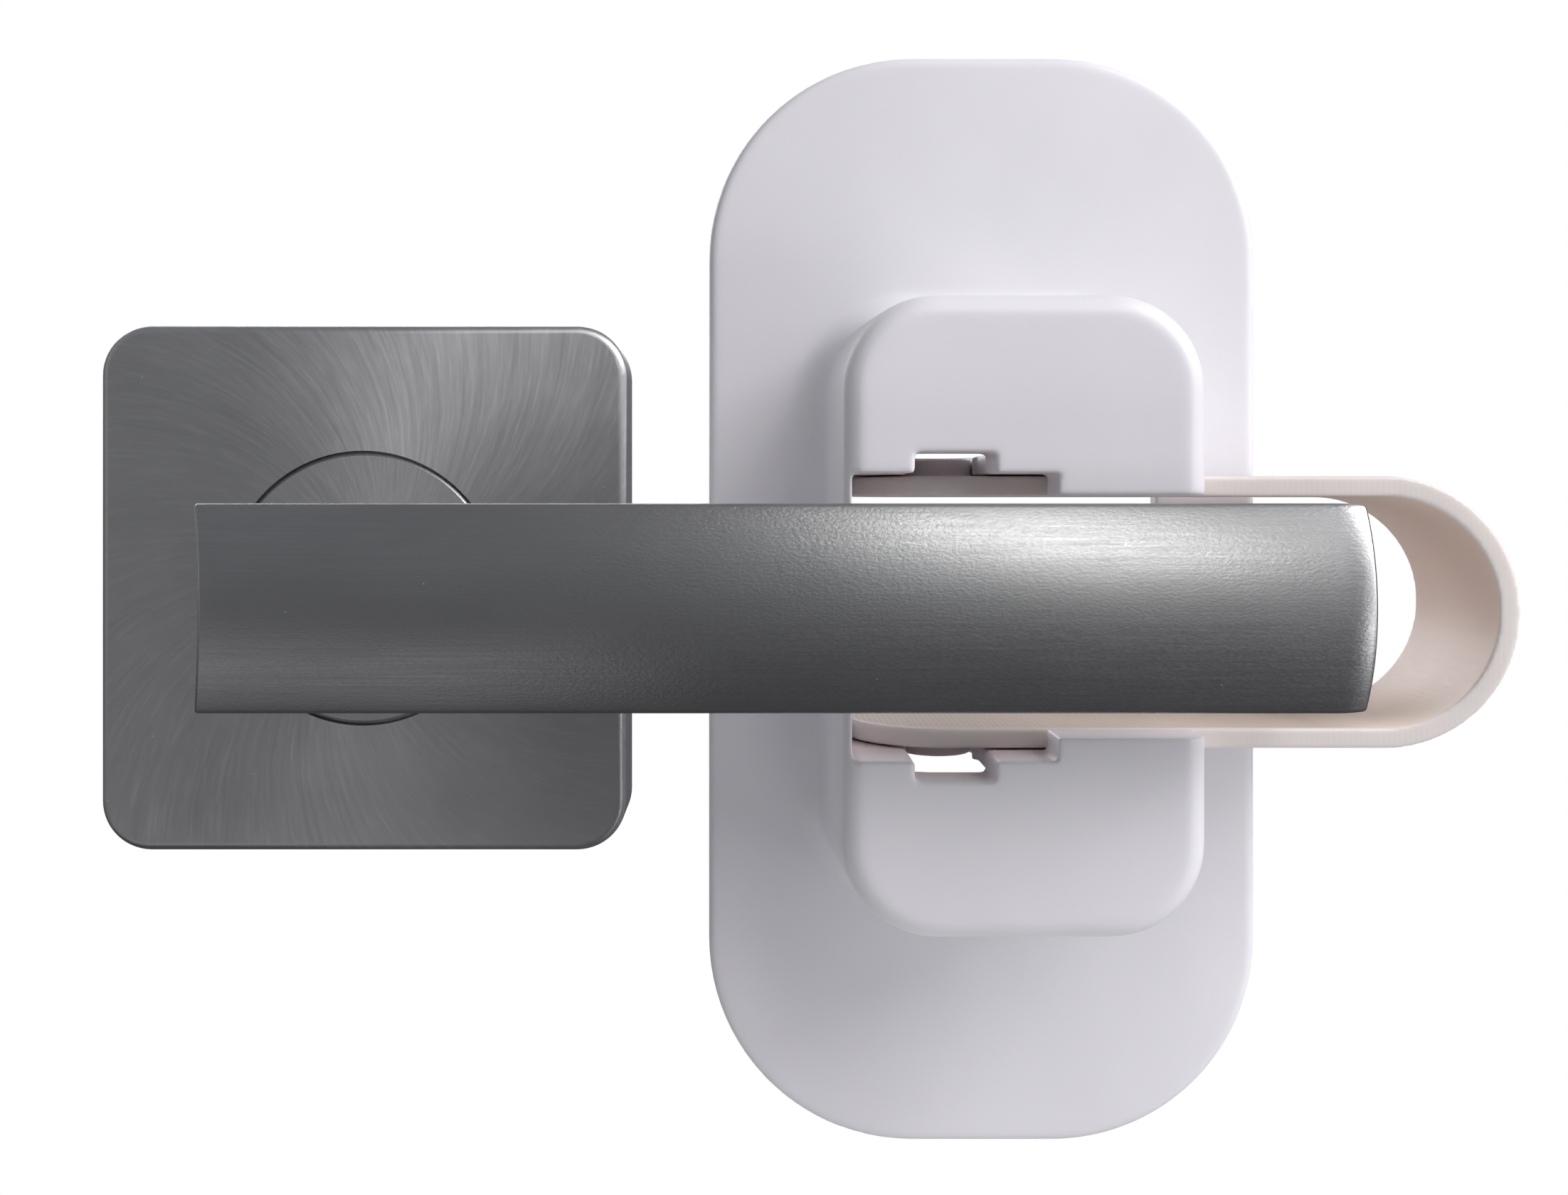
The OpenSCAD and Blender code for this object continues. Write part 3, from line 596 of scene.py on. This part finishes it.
# %% Natural nylon and foam tape
def plain_plastic(name, dark, light, rough, cell_mm, depth_mm, values):
    """A plastic with a faintly clouded tone and a skin of cells of cell_mm."""
    made, tree, shader, place = begin(name, values)
    grit = add(tree, "ShaderNodeTexNoise", {
        "Vector": add(tree, "ShaderNodeMapping", {"Vector": place, "Scale": grain(cell_mm)}),
        "Scale": 1.0, "Detail": 3.0, "Roughness": 0.6})
    clouds = add(tree, "ShaderNodeTexNoise", {
        "Vector": add(tree, "ShaderNodeMapping", {"Vector": place, "Scale": grain(8)}),
        "Scale": 1.0, "Detail": 2.0, "Roughness": 0.5})
    cloudy = add(tree, "ShaderNodeMapRange", {
        "Value": clouds, **MOST_NOISE, "To Min": 0.0, "To Max": 1.0})
    tone = add(tree, "ShaderNodeMix", {
        SHARE: cloudy, FIRST: colour(dark), SECOND: colour(light)}, data_type="RGBA")
    fill(tree, shader, {
        "Base Color": tone.outputs[MIXED],
        "Roughness": add(tree, "ShaderNodeMapRange", {
            "Value": grit, **MOST_NOISE, "To Min": rough - 0.05, "To Max": rough + 0.05}),
        "Normal": add(tree, "ShaderNodeBump", {
            "Height": grit, "Distance": depth_mm * MM, "Strength": 1.0})})
    return made


nylon_natural = plain_plastic("nylon, natural, moulded", "#e2dccb", "#ebe6d8", 0.42, 0.5, 0.006,
                              {"Subsurface Weight": 0.3, "Subsurface Radius": (2.0, 1.6, 1.0),
                               "Subsurface Scale": MM, "IOR": 1.52})
foam_tape = plain_plastic("acrylic foam tape, closed cell", "#b5afaa", "#c6c0bb", 0.72, 0.35, 0.05,
                          {"Specular IOR Level": 0.3})
print(nylon_natural.name, "and", foam_tape.name)

# %% [markdown]
# ## Softening edges
# No real edge is perfectly sharp. A pressed, cast or turned piece has its edges broken by a few tenths of
# a millimetre, and that thin band catches a line of light. For pieces whose shape is already right the
# Bevel modifier does it. The frame's meshes have split corners, so a Weld modifier joins them first.
# The spring's wire is round, and the cover and the ring are soft-edged in the frame, so these three only
# get their finish.

# %% Edge helpers
JOIN_REACH = 0.004 * MM


def weighted_shading(piece, weight):
    """Lets broad faces set the shading, so that they look flat beside their rounded edges."""
    shade = piece.modifiers.new("shading", "WEIGHTED_NORMAL")
    shade.keep_sharp = False
    shade.weight = weight


def split_shading(piece, angle):
    """Shades a piece smooth, except at edges sharper than angle."""
    piece.modifiers.new("shading", "EDGE_SPLIT").split_angle = math.radians(angle)


def broken_edges(piece, width_mm):
    """Breaks a piece's sharp edges by modifiers, which leave its own mesh alone."""
    piece.modifiers.new("weld", "WELD").merge_threshold = JOIN_REACH
    edge = piece.modifiers.new("broken edges", "BEVEL")
    edge.width = width_mm * MM
    edge.segments = 2
    edge.limit_method = "ANGLE"
    edge.angle_limit = math.radians(32)
    edge.harden_normals = False
    edge.use_clamp_overlap = True
    weighted_shading(piece, 80)


def dress(piece, finish):
    """Gives a piece one finish."""
    piece.data.materials.clear()
    piece.data.materials.append(finish)


print("edges are welded within, mm:", round(JOIN_REACH / MM, 3))

# %% Pieces kept from the frame
softened = (
    ("mounting_plate", zinc_cast, 0.25), ("cover_clips", spring_drawn, 0.08),
    ("neck_bush", nylon_natural, 0.15), ("thrust_washer", nylon_natural, 0.08),
    ("spindle", zinc_plated, 0.35), ("grub_screw", black_oxide, 0.1),
    ("spring_driver", brass_turned, 0.2), ("spring_cap", zinc_plated, 0.12),
    ("retaining_ring", black_oxide, 0.12), ("adhesive_tape", foam_tape, 0.1))
for name, finish, width_mm in softened:
    broken_edges(nodes[name], width_mm)
    dress(nodes[name], finish)
only_dressed = (
    ("return_spring", spring_drawn), ("rosette_cover", nickel_cover), ("collar_ring", nickel_ring))
for name, finish in only_dressed:
    dress(nodes[name], finish)
print("kept from the frame:", len(softened) + len(only_dressed))

# %% [markdown]
# ## Building a mesh from rings
# The new pieces below are all made the same way: rings of points, joined one to the next by bands of
# faces, and closed at the ends by a fan of triangles round a middle point.


# %% Mesh helpers
def band(shaper, near, far):
    """Joins two rings of points by a band of faces."""
    count = len(near)
    for i in range(count):
        shaper.faces.new((near[i], near[(i + 1) % count], far[(i + 1) % count], far[i]))


def cap(shaper, ring, middle):
    """Closes a ring by triangles that meet at a middle point."""
    count = len(ring)
    centre = shaper.verts.new(middle)
    for i in range(count):
        shaper.faces.new((ring[i], ring[(i + 1) % count], centre))


def new_piece(name, shaper):
    """Turns a bmesh into a piece of the scene, smooth shaded."""
    mesh = bpy.data.meshes.new(name)
    bmesh.ops.recalc_face_normals(shaper, faces=shaper.faces)
    shaper.to_mesh(mesh)
    shaper.free()
    mesh.shade_smooth()
    made = bpy.data.objects.new(name, mesh)
    scene.collection.objects.link(made)
    return made


def made_solid(piece):
    """Applies a new piece's modifiers, so that its mesh is what shows."""
    bpy.context.view_layer.update()
    shown = piece.evaluated_get(bpy.context.evaluated_depsgraph_get())
    mesh = bpy.data.meshes.new_from_object(shown)
    piece.modifiers.clear()
    piece.data = mesh


def cut_out(piece, cutter, name, crossing_parts=False):
    """Cuts the cutter's shape from a piece, and throws the cutter away. Its parts may cross."""
    cut = piece.modifiers.new(name, "BOOLEAN")
    cut.operation = "DIFFERENCE"
    cut.solver = "EXACT"
    cut.object = cutter
    cut.use_self = crossing_parts
    made_solid(piece)
    bpy.data.objects.remove(cutter)


print("new pieces are built ring by ring with", band.__name__, "and", cap.__name__)

# %% [markdown]
# ## The lever
# The lever is one casting: a flat-backed bar whose front swells into a low crown, and a round neck that
# goes through the rosette. The bar is a loft, a closed outline repeated along its length. That keeps the
# crown perfectly even, which matters because brushed metal shows every dent in its highlight.
# Both ends are ground: the tip is flat, and the tail has a shallow dish that matches a round grinding
# wheel. The belt wears the bar a little thinner just before the tip, so its last 3 mm roll off slightly
# and catch a soft line of light.

# %% Sizes of the lever
lever_low, lever_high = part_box("lever_handle")
lock_front = -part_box("lock_base")[0].y
half_bar = lever_high.z
bar_front = -lever_low.y
bar_back = lock_front + 4.3 * MM
crown_rise = 2.8 * MM
crown_radius = (half_bar ** 2 + crown_rise ** 2) / (2 * crown_rise)
dish_depth = 1.35 * MM
dish_radius = (half_bar ** 2 + dish_depth ** 2) / (2 * dish_depth)
print("bar, mm: height", round(2 * half_bar / MM, 1), "thickness",
      round((bar_front - bar_back) / MM, 1), "crown radius", round(crown_radius / MM, 1))


# %% Outline of the bar
def crown_at(z):
    """How far the crowned front stands off the door at height z."""
    return bar_front - crown_radius + math.sqrt(crown_radius ** 2 - z * z)


def bow(start, corner, stop, steps):
    """A smooth bend from start to stop that turns at corner."""
    made = []
    for k in range(steps + 1):
        t = k / steps
        from_start, at_corner, to_stop = (1 - t) ** 2, 2 * t * (1 - t), t * t
        made.append(tuple(from_start * a + at_corner * b + to_stop * c
                          for a, b, c in zip(start, corner, stop)))
    return made


def bar_outline():
    """Points (height off the spindle's level, distance off the door) round the bar."""
    soft, foot_radius = 0.45 * MM, 1.5 * MM
    crown_steps, side_steps, back_steps = 16, 6, 6
    crown_top = half_bar - soft
    heights = [crown_top - crown_top * k / crown_steps for k in range(crown_steps + 1)]
    crown = [(z, crown_at(z)) for z in heights]
    shoulder = bar_front - crown_rise
    side_top, side_foot = shoulder - soft, bar_back + foot_radius
    corner = bow((half_bar, side_top), (half_bar, shoulder), crown[0], 5)
    side = [(half_bar, side_top - (side_top - side_foot) * k / side_steps)
            for k in range(side_steps - 1, 0, -1)]
    quarter = [math.radians(a) for a in range(0, 91, 15)]
    foot_z = half_bar - foot_radius
    foot = [(foot_z + foot_radius * math.sin(a), side_foot - foot_radius * math.cos(a)) for a in quarter]
    back = [(foot_z * k / back_steps, bar_back) for k in range(back_steps)]
    upper_half = back + foot + side + corner + crown[1:]
    lower_half = [(-z, h) for z, h in reversed(upper_half[1:-1])]
    return upper_half + lower_half


outline = bar_outline()
print("points round the bar:", len(outline))


# %% Loft the bar
def inward(points, distance):
    """A closed outline moved inwards by a distance."""
    moved = []
    for i, p in enumerate(points):
        before, after = Vector(points[i - 1]), Vector(points[(i + 1) % len(points)])
        along = (after - before).normalized()
        moved.append((p[0] - along.y * distance, p[1] + along.x * distance))
    return moved


def tail_at(z):
    """Where the dished tail end lies along X at height z."""
    return lever_low.x + dish_depth - dish_radius + math.sqrt(dish_radius ** 2 - z * z)


def tip_at(z):
    """Where the flat tip lies along X, which is the same at every height."""
    return lever_high.x


def end_face(points, end_at, shares, middle):
    """Rows over an end face, each the outline shrunk to a share of its size."""
    return [[(end_at(z * share), z * share, middle + (h - middle) * share) for z, h in points]
            for share in shares]


def bar_rows(middle):
    """Rows of points (along X, height, distance off the door) from the tail's middle to the tip's."""
    tail_edge, tip_edge = 0.35 * MM, 0.42 * MM
    roll_length, roll_drop = 3.0 * MM, 0.155 * MM
    length_rows, roll_rows = 35, 12
    shares = [k / 10 for k in range(1, 10)]
    quarter = [math.radians(a) for a in (0, 22.5, 45, 67.5, 90)]
    rounding = [(1 - math.sin(a), 1 - math.cos(a)) for a in quarter]
    tip = lever_high.x
    roll_start = tip - tip_edge - roll_length

    rows = end_face(inward(outline, tail_edge), tail_at, shares, middle)
    for inset, along in rounding:
        rows.append([(tail_at(z) + along * tail_edge, z, h) for z, h in inward(outline, inset * tail_edge)])
    for k in range(1, length_rows + 1):
        share = k / length_rows
        starts = [tail_at(z) + tail_edge for z, _ in outline]
        rows.append([(start + (roll_start - start) * share, z, h)
                     for start, (z, h) in zip(starts, outline)])
    for k in range(1, roll_rows + 1):
        share = k / roll_rows
        rows.append([(roll_start + roll_length * share, z, h)
                     for z, h in inward(outline, roll_drop * share ** 3)])
    for inset, along in reversed(rounding[:-1]):
        rows.append([(tip - along * tip_edge, z, h)
                     for z, h in inward(outline, roll_drop + inset * tip_edge)])
    rows += end_face(inward(outline, roll_drop + tip_edge), tip_at, reversed(shares), middle)
    return rows


bar_shape = bmesh.new()
bar_middle_depth = sum(h for _, h in outline) / len(outline)
bar_rings = [[bar_shape.verts.new((x, -h, z)) for x, z, h in row] for row in bar_rows(bar_middle_depth)]
for near, far in zip(bar_rings, bar_rings[1:]):
    band(bar_shape, near, far)
cap(bar_shape, bar_rings[0], (tail_at(0), -bar_middle_depth, 0))
cap(bar_shape, bar_rings[-1], (tip_at(0), -bar_middle_depth, 0))
lever_bar = new_piece("lever_bar", bar_shape)
print("faces in the bar:", len(lever_bar.data.polygons))

# %% [markdown]
# The neck is turned on a lathe, so it is a stack of rings whose radius changes with height. Where it
# isn't round, a ring's radius is a function of the angle: the journal below the cover has two flats that
# key it to the spring driver, and the socket for the spindle is square.


# %% Turn the neck
def ring_stack(shaper, rows, count):
    """Rings round the Y axis, each (distance off the door, radius or a function from angle to radius)."""
    rings = []
    for height, radius in rows:
        ring = []
        for i in range(count):
            angle = 2 * math.pi * i / count
            r = radius(angle) if callable(radius) else radius
            ring.append(shaper.verts.new((r * math.cos(angle), -height, r * math.sin(angle))))
        rings.append(ring)
    for near, far in zip(rings, rings[1:]):
        band(shaper, near, far)
    cap(shaper, rings[0], (0, -rows[0][0], 0))
    cap(shaper, rings[-1], (0, -rows[-1][0], 0))


def square_ring(half):
    """A square, as the radius at each angle."""
    return lambda angle: half / max(abs(math.cos(angle)), abs(math.sin(angle)))


def flatted_ring(radius, half):
    """A circle with two flats square to X, as the radius at each angle."""
    return lambda angle: min(radius, half / max(abs(math.cos(angle)), 1e-6))


# %% Sizes of the neck
FIT = 0.05 * MM
neck_radius = -lever_low.x
journal = neck_radius - 0.3 * MM
half_flats = journal * 0.9
keyed = flatted_ring(journal, half_flats)
groove = journal - 0.7 * MM
socket_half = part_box("spindle")[1].x + FIT
socket = square_ring(socket_half)
journal_end = -lever_high.y
collar_under = -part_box("collar_ring")[1].y
roof = -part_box("mounting_plate")[0].y - 3.8 * MM
groove_top = -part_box("retaining_ring")[0].y + FIT
groove_low = -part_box("retaining_ring")[1].y - FIT
print("neck radius, mm:", round(neck_radius / MM, 2), "journal:", round(journal / MM, 2))

# %% Stack the neck's rings
neck_length = bar_back - collar_under - 0.2 * MM
neck_rows = [
    (bar_back + 1 * MM, neck_radius), (bar_back, neck_radius),
    *[(bar_back - neck_length * k / 8, neck_radius) for k in range(1, 9)],
    (collar_under, neck_radius - 0.15 * MM), (collar_under, journal),
    (roof + 0.02 * MM, journal), (roof, keyed),
    (groove_top, keyed), (groove_top, groove), (groove_low, groove), (groove_low, keyed),
    (journal_end + 0.4 * MM, keyed),
    (journal_end, flatted_ring(journal - 0.4 * MM, half_flats - 0.4 * MM)),
    (journal_end, square_ring(socket_half + 0.3 * MM)), (journal_end + 0.3 * MM, socket),
    (0.0, socket), (33 * MM, socket)]
neck_shape = bmesh.new()
ring_stack(neck_shape, neck_rows, 96)
neck = new_piece("neck", neck_shape)
print("faces in the neck:", len(neck.data.polygons))

# %% Drill the neck and join the lever
grub_low, grub_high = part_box("grub_screw")
grub_height = -(grub_low.y + grub_high.y) / 2
hole_radius = (grub_high.x - grub_low.x) / 2 + FIT
hole_shape = bmesh.new()
bmesh.ops.create_cone(hole_shape, cap_ends=True, segments=48, radius1=hole_radius, radius2=hole_radius,
                      depth=neck_radius * 1.2)
drill = new_piece("drill", hole_shape)
drill.location = (0, -grub_height, -neck_radius * 0.9)
cut_out(neck, drill, "grub screw hole")
for piece in (lever_bar, neck):
    dress(piece, nickel_bar)
    split_shading(piece, 40)
    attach(piece, "lever")
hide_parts("lever_handle")
print("faces in the neck after drilling:", len(neck.data.polygons))

# %% [markdown]
# ## The lock's base
# The base is one moulding, and a mould maker rounds every edge so that the plastic flows and lets go.
# Beveling such a shape edge by edge is slow, because the notches, the channel and the fillets all meet.
# A voxel remesh does it in one go: it rebuilds the surface as an even net, and a few rounds of smoothing
# then round each edge by about a third of a millimetre. Thinning the net afterwards keeps it light where
# it is flat.


# %% Remesh a moulding
def moulded_copy(node, name, voxel_mm, rounds, keep):
    """A copy of a frame piece with every edge rounded as a mould would leave it."""
    copy = bpy.data.objects.new(name, nodes[node].data.copy())
    scene.collection.objects.link(copy)
    copy.modifiers.new("weld", "WELD").merge_threshold = JOIN_REACH
    net = copy.modifiers.new("net", "REMESH")
    net.mode = "VOXEL"
    net.voxel_size = voxel_mm * MM
    net.adaptivity = 0.0
    soft = copy.modifiers.new("soft", "SMOOTH")
    soft.factor = 0.5
    soft.iterations = rounds
    copy.modifiers.new("thin", "DECIMATE").ratio = keep
    made_solid(copy)
    copy.data.shade_smooth()
    weighted_shading(copy, 70)
    return copy


lock_shell = moulded_copy("lock_base", "lock_shell", voxel_mm=0.32, rounds=5, keep=0.22)
dress(lock_shell, abs_white)
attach(lock_shell, "door_side")
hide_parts("lock_base")
print("faces in the lock's base:", len(lock_shell.data.polygons))

# %% [markdown]
# ## The squeeze loop
# The loop is a strap bent into a U, moulded in one piece with a round pin on the outside of each arm.
# The same remesh rounds it, on a finer net because the strap is only 2.2 mm thick.

# %% Squeeze loop
loop_strap = moulded_copy("squeeze_loop", "loop_strap", voxel_mm=0.27, rounds=5, keep=0.35)
dress(loop_strap, nylon_white)
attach(loop_strap, "loop")
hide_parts("squeeze_loop")
print("faces in the loop:", len(loop_strap.data.polygons))

# %% [markdown]
# ## Screws
# Two M4 machine screws pull the inside and outside rosettes together through the door.
# The frame has plain rods. A real thread is a ridge that climbs 0.7 mm each turn, so the new screws are
# a stack of rings whose radius depends on the height and the angle together. The cross recess is cut
# from the head afterwards.

# %% Sizes of the screws
PITCH = 0.7 * MM
THREAD_RADIUS = 2.0 * MM
THREAD_DEPTH = 0.4 * MM
SHANK_RADIUS = 2.15 * MM
HEAD_RADIUS = 4.0 * MM
RINGS_PER_TURN = 7
bolt_low, bolt_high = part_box("through_bolts")
bolt_level = bolt_high.z - HEAD_RADIUS
bolt_end, head_top = -bolt_high.y, -bolt_low.y
head_under = head_top - 2.2 * MM
thread_top = -10 * MM
print("screws at", round(bolt_level / MM, 2), "mm above and below the spindle")


# %% Threaded screws
def thread(height):
    """The radius of the thread round the screw, at one distance off the door."""
    def radius(angle):
        turn = (height / PITCH - angle / (2 * math.pi)) % 1.0
        ridge = min(1.0, max(0.0, 1.25 - abs(turn - 0.5) * 2 * 1.5))
        run_out = min(1.0, max(0.0, (thread_top - height) / PITCH))
        point = min(1.0, (height - bolt_end) / (1.2 * MM))
        return (THREAD_RADIUS - THREAD_DEPTH * (1 - ridge) * run_out) * (0.78 + 0.22 * point)
    return radius


def cross_cutter():
    """Two crossed bars, the shape of the recess in a screw's head."""
    cutter_shape = bmesh.new()
    for wide, tall in ((4.0, 0.8), (0.8, 4.0)):
        bar = bmesh.ops.create_cube(cutter_shape, size=1.0)
        bmesh.ops.scale(cutter_shape, vec=(wide * MM, 2 * MM, tall * MM), verts=bar["verts"])
    cutter = new_piece("cross", cutter_shape)
    cutter.location = (0, -head_top, 0)
    return cutter


def screw(name, level):
    """One screw, built round the Y axis and then moved to its level."""
    steps = int((thread_top - bolt_end) / (PITCH / RINGS_PER_TURN))
    heights = [bolt_end + (thread_top - bolt_end) * k / steps for k in range(steps + 1)]
    rows = [(height, thread(height)) for height in heights]
    rows += [(thread_top + 0.3 * MM, SHANK_RADIUS), (head_under, SHANK_RADIUS)]
    rows += [(head_top - 0.2 * MM, HEAD_RADIUS), (head_top, HEAD_RADIUS - 0.1 * MM)]
    screw_shape = bmesh.new()
    ring_stack(screw_shape, rows, 36)
    made = new_piece(name, screw_shape)
    cut_out(made, cross_cutter(), "cross recess", crossing_parts=True)
    made.data.transform(Matrix.Translation((0, 0, level)))
    return made


for name, level in (("screw_upper", bolt_level), ("screw_lower", -bolt_level)):
    bolt = screw(name, level)
    dress(bolt, zinc_plated)
    split_shading(bolt, 38)
    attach(bolt, "door_side")
    print(name, "has", len(bolt.data.polygons), "faces")
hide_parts("through_bolts")

# %% [markdown]
# ## Wave washer
# A wave washer takes up the play between the spring cap and the retaining ring. It is a thin ring bent
# into three low waves, so it is made as four rings whose height follows a cosine.

# %% Wave washer
washer_low, washer_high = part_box("wave_washer")
WASHER_THICKNESS = 0.3 * MM
WASHER_WIDTH = 2.3 * MM
WAVES = 3
POINTS_ROUND = 144


def wave_ring(inner, outer):
    """The four edges of the washer's strip, joined by four bands."""
    washer_shape = bmesh.new()
    swing = (washer_high.y - washer_low.y - WASHER_THICKNESS) / 2
    middle = (washer_low.y + washer_high.y) / 2
    edges = []
    for radius, side in ((inner, -1), (outer, -1), (outer, 1), (inner, 1)):
        edge = []
        for i in range(POINTS_ROUND):
            a = 2 * math.pi * i / POINTS_ROUND
            y = middle + swing * math.cos(WAVES * a) + side * WASHER_THICKNESS / 2
            edge.append(washer_shape.verts.new((radius * math.cos(a), y, radius * math.sin(a))))
        edges.append(edge)
    for near, far in zip(edges, edges[1:] + edges[:1]):
        band(washer_shape, near, far)
    return washer_shape


wave = new_piece("wave_washer_bent", wave_ring(washer_high.x - WASHER_WIDTH, washer_high.x))
dress(wave, spring_drawn)
split_shading(wave, 40)
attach(wave, "lever")
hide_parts("wave_washer")
print("washer's height with its waves, mm:", round((washer_high.y - washer_low.y) / MM, 2))
